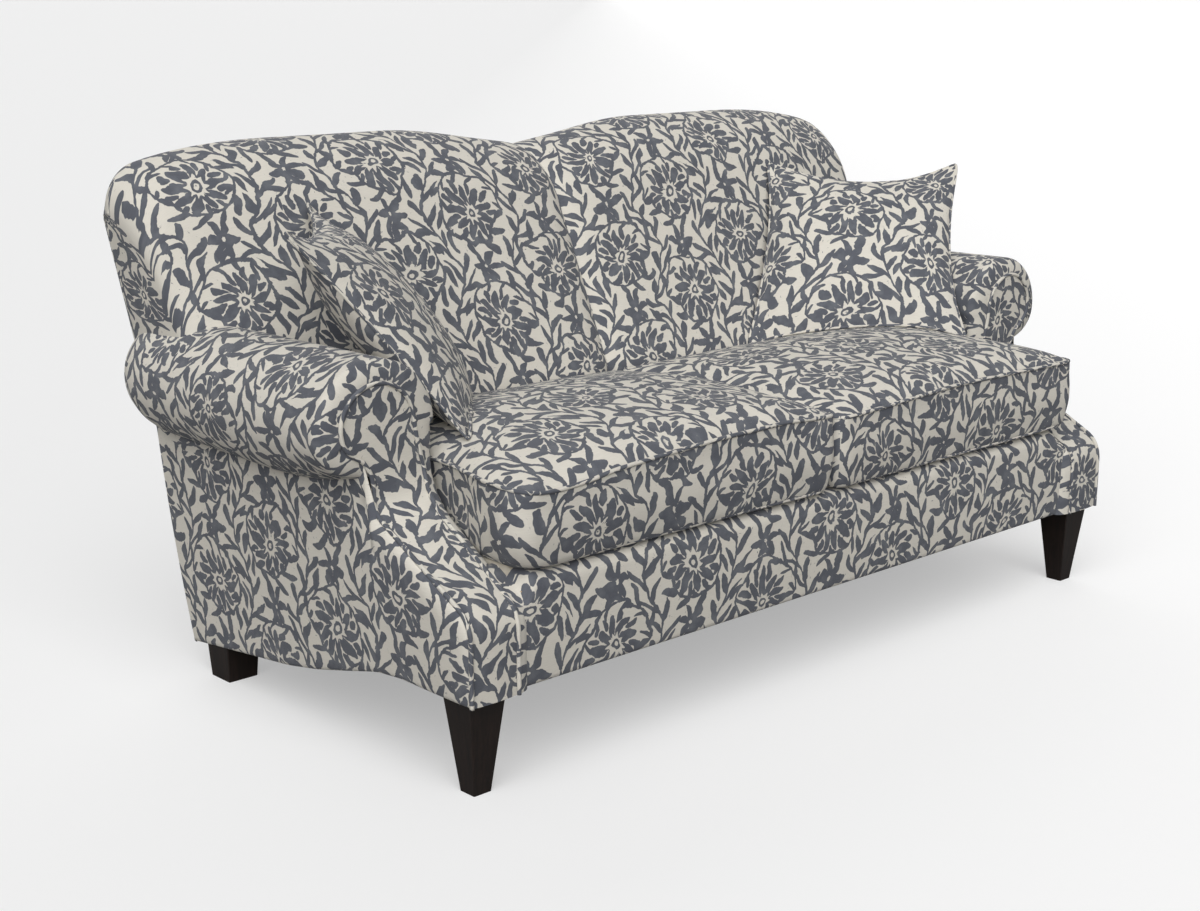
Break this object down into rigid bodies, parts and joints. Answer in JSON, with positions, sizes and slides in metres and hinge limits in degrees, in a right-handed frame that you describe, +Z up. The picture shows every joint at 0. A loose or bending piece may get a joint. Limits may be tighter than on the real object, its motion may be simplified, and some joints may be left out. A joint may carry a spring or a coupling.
{
  "type": "two-seat sofa",
  "caption": "Sofa with set-back scroll arms, a tight double-hump back, loose seat cushions, throw pillows and tapered wooden legs.",
  "frame": {"origin": "on the floor, under the middle of the sofa's box", "axes": "+Z up, -Y is the front, +X along the seat, to the right as seen from the front"},
  "size_m": [1.756, 0.8805, 0.8955],
  "materials": {
    "printed_linen": "matte",
    "deck_cloth": "matte",
    "cambric": "matte",
    "webbing": "matte",
    "leg_wood": "satin",
    "frame_hardwood": "matte",
    "spring_steel": "satin"
  },
  "bodies": {
    "frame": {"front_rail": "frame_hardwood", "back_rail": "frame_hardwood", "centre_stretcher": "frame_hardwood", "corner_blocks": "frame_hardwood", "side_rail_right": "frame_hardwood", "side_rail_left": "frame_hardwood", "arm_post_right": "frame_hardwood", "arm_post_left": "frame_hardwood", "back_post_right": "frame_hardwood", "back_post_left": "frame_hardwood", "arm_top_rail_right": "frame_hardwood", "arm_top_rail_left": "frame_hardwood", "arm_tack_rail_right": "frame_hardwood", "arm_tack_rail_left": "frame_hardwood", "back_top_rail": "frame_hardwood", "back_tack_rail": "frame_hardwood", "back_centre_post": "frame_hardwood", "front_leg_right": "leg_wood", "front_leg_left": "leg_wood", "rear_leg_right": "leg_wood", "rear_leg_left": "leg_wood", "leg_bolts": "spring_steel", "seat_springs": "spring_steel", "spring_clips": "spring_steel", "front_border": "printed_linen", "arm_outside_right": "printed_linen", "arm_outside_left": "printed_linen", "arm_pad_right": "printed_linen", "arm_pad_left": "printed_linen", "arm_facing_right": "printed_linen", "arm_facing_left": "printed_linen", "outside_back": "printed_linen", "back_pad_right": "printed_linen", "back_pad_left": "printed_linen", "deck_cover": "deck_cloth", "dust_cover": "cambric", "back_webbing": "webbing"},
    "seat_cushion_right": {"seat_cushion_right": "printed_linen"},
    "throw_pillow_right": {"throw_pillow_right": "printed_linen"},
    "seat_cushion_left": {"seat_cushion_left": "printed_linen"},
    "throw_pillow_left": {"throw_pillow_left": "printed_linen"}
  },
  "joints": [
    {"name": "seat_cushion_right_lift", "type": "slide", "parent": "frame", "child": "seat_cushion_right", "axis": [0, 0, 1], "range_m": [0, 0.45]},
    {"name": "throw_pillow_right_lift", "type": "slide", "parent": "seat_cushion_right", "child": "throw_pillow_right", "axis": [0, 0, 1], "range_m": [0, 0.4]},
    {"name": "seat_cushion_left_lift", "type": "slide", "parent": "frame", "child": "seat_cushion_left", "axis": [0, 0, 1], "range_m": [0, 0.45]},
    {"name": "throw_pillow_left_lift", "type": "slide", "parent": "seat_cushion_left", "child": "throw_pillow_left", "axis": [0, 0, 1], "range_m": [0, 0.4]}
  ]
}
